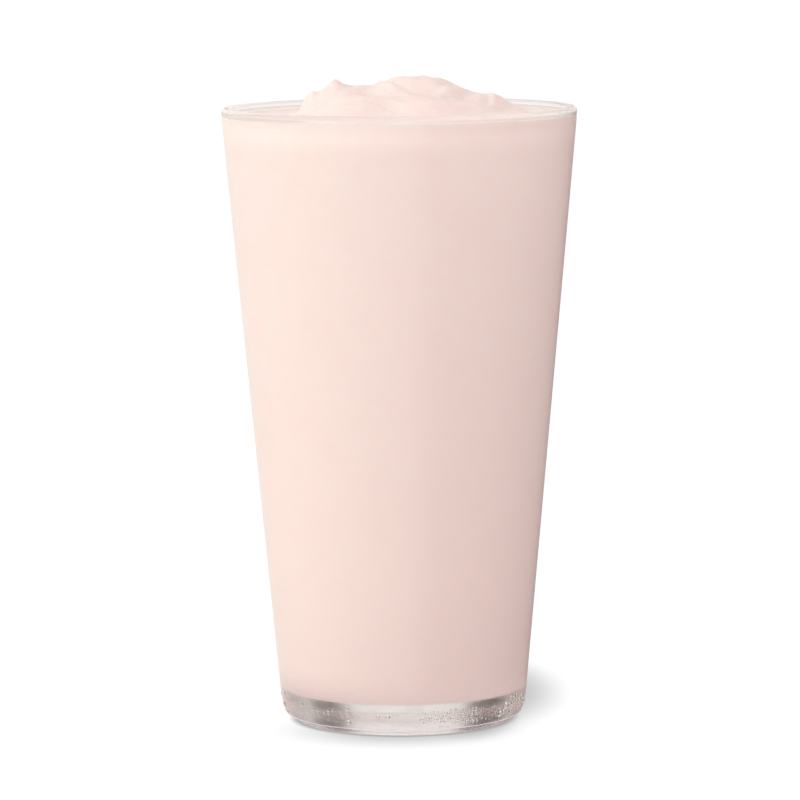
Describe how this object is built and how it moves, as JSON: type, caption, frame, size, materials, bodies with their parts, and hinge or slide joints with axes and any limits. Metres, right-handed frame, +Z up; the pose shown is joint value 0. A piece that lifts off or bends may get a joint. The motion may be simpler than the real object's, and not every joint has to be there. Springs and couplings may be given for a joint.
{
  "type": "frosted lemonade in a tapered glass",
  "caption": "Thick frosted lemonade that fills a clear tapered drinking glass and heaps above its rounded lip, standing on a stepped foot.",
  "frame": {"origin": "centre of the glass's foot, on the surface that it stands on", "axes": "+Z up along the glass's axis; +X to the right and -Y towards the viewer of the heap's front"},
  "size_m": [0.088, 0.088, 0.1604],
  "materials": {
    "clear_glass": "smooth clear pressed glass, with cold water beads low on the outside",
    "frosted_lemonade": "food: pale peach-pink frozen drink, soft, fine-grained and slightly moist"
  },
  "bodies": {
    "root": {"glass": "clear_glass", "frosted_lemonade": "frosted_lemonade"}
  },
  "joints": []
}
